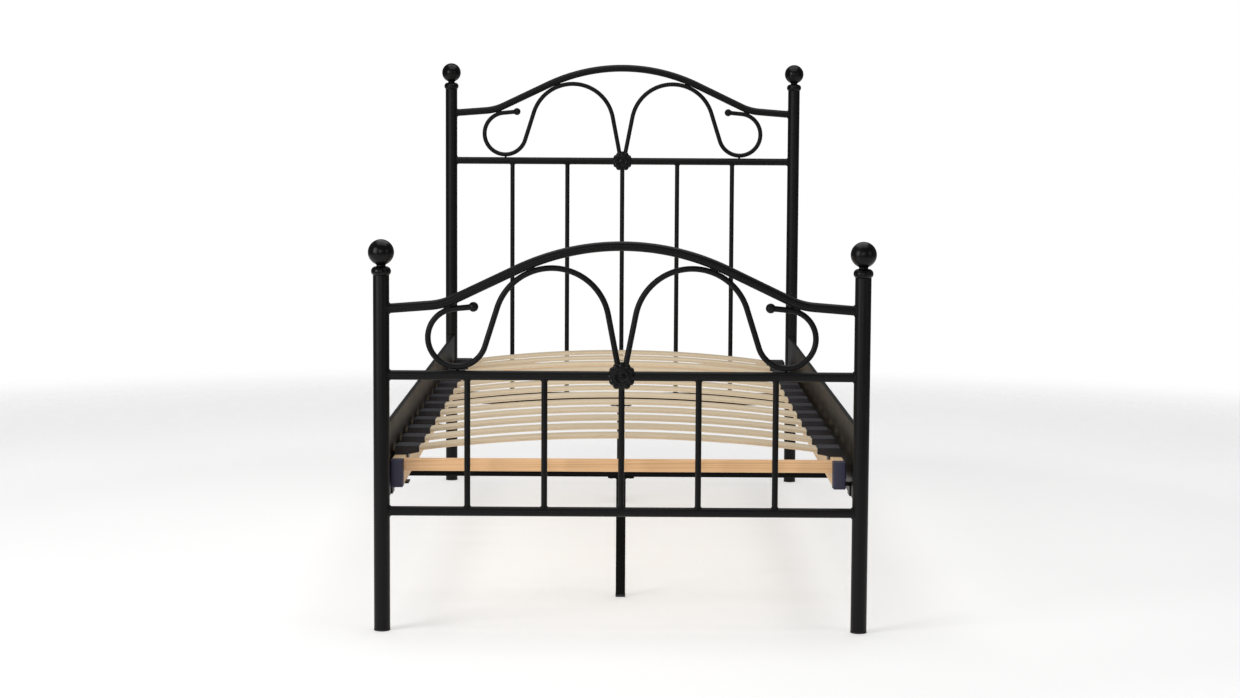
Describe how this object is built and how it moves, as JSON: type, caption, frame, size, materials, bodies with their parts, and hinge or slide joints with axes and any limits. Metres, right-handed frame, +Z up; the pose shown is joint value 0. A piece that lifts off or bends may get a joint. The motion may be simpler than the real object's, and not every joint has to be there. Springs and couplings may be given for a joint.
{
  "type": "metal bed frame",
  "caption": "Single bed frame in black tube, with arched scrollwork head and foot boards, ball finials, sheet side rails, centre legs and a lift-out sprung wooden slat base.",
  "frame": {"origin": "on the floor, at the middle of the bed's outer box in plan", "axes": "+X across the bed to the right seen from the footboard, +Y from the footboard to the headboard, +Z up"},
  "size_m": [0.991, 2.101, 1.1525],
  "materials": {
    "coated_steel": "satin black powder coat on steel tube and sheet",
    "coated_casting": "satin black powder coat on castings, a little glossier",
    "black_plastic": "moulded, fine matt texture",
    "zinc_fasteners": "zinc plated, slightly dulled",
    "rail_wood": "planed softwood, clear sealed",
    "slat_wood": "laminated birch, sanded and sealed",
    "cap_plastic": "moulded, fine matt texture",
    "holder_plastic": "moulded, smooth satin"
  },
  "bodies": {
    "frame": {"foot_post_left": "coated_steel", "foot_post_right": "coated_steel", "foot_arch_rail": "coated_steel", "foot_upper_rail": "coated_steel", "foot_lower_rail": "coated_steel", "foot_scroll_left": "coated_steel", "foot_scroll_right": "coated_steel", "foot_spindles": "coated_steel", "foot_finial_left": "coated_casting", "foot_finial_right": "coated_casting", "foot_rosette_front": "coated_casting", "foot_rosette_back": "coated_casting", "foot_foot_cap_left": "black_plastic", "foot_foot_cap_right": "black_plastic", "head_post_left": "coated_steel", "head_post_right": "coated_steel", "head_arch_rail": "coated_steel", "head_upper_rail": "coated_steel", "head_lower_rail": "coated_steel", "head_scroll_left": "coated_steel", "head_scroll_right": "coated_steel", "head_spindles": "coated_steel", "head_finial_left": "coated_casting", "head_finial_right": "coated_casting", "head_rosette_front": "coated_casting", "head_rosette_back": "coated_casting", "head_foot_cap_left": "black_plastic", "head_foot_cap_right": "black_plastic", "side_rail_left": "coated_steel", "side_rail_right": "coated_steel", "post_plates": "coated_steel", "ledge_tabs": "coated_steel", "cross_bar_foot": "coated_steel", "cross_bar_head": "coated_steel", "centre_leg_foot": "coated_steel", "centre_leg_head": "coated_steel", "corner_bolts": "zinc_fasteners", "bar_bolts": "zinc_fasteners", "leg_screws": "zinc_fasteners", "leg_glides": "black_plastic"},
    "slat_base": {"slat_rail_left": "rail_wood", "slat_rail_right": "rail_wood", "slat_crossmember_foot": "rail_wood", "slat_crossmember_head": "rail_wood", "rail_end_caps": "cap_plastic", "slat_holders": "holder_plastic", "crossmember_screws": "zinc_fasteners", "slat_01": "slat_wood", "slat_02": "slat_wood", "slat_03": "slat_wood", "slat_04": "slat_wood", "slat_05": "slat_wood", "slat_06": "slat_wood", "slat_07": "slat_wood", "slat_08": "slat_wood", "slat_09": "slat_wood", "slat_10": "slat_wood", "slat_11": "slat_wood", "slat_12": "slat_wood", "slat_13": "slat_wood"}
  },
  "joints": [
    {"name": "slat_base_lift", "type": "slide", "parent": "frame", "child": "slat_base", "axis": [0, 0, 1], "range_m": [0, 0.9]}
  ]
}
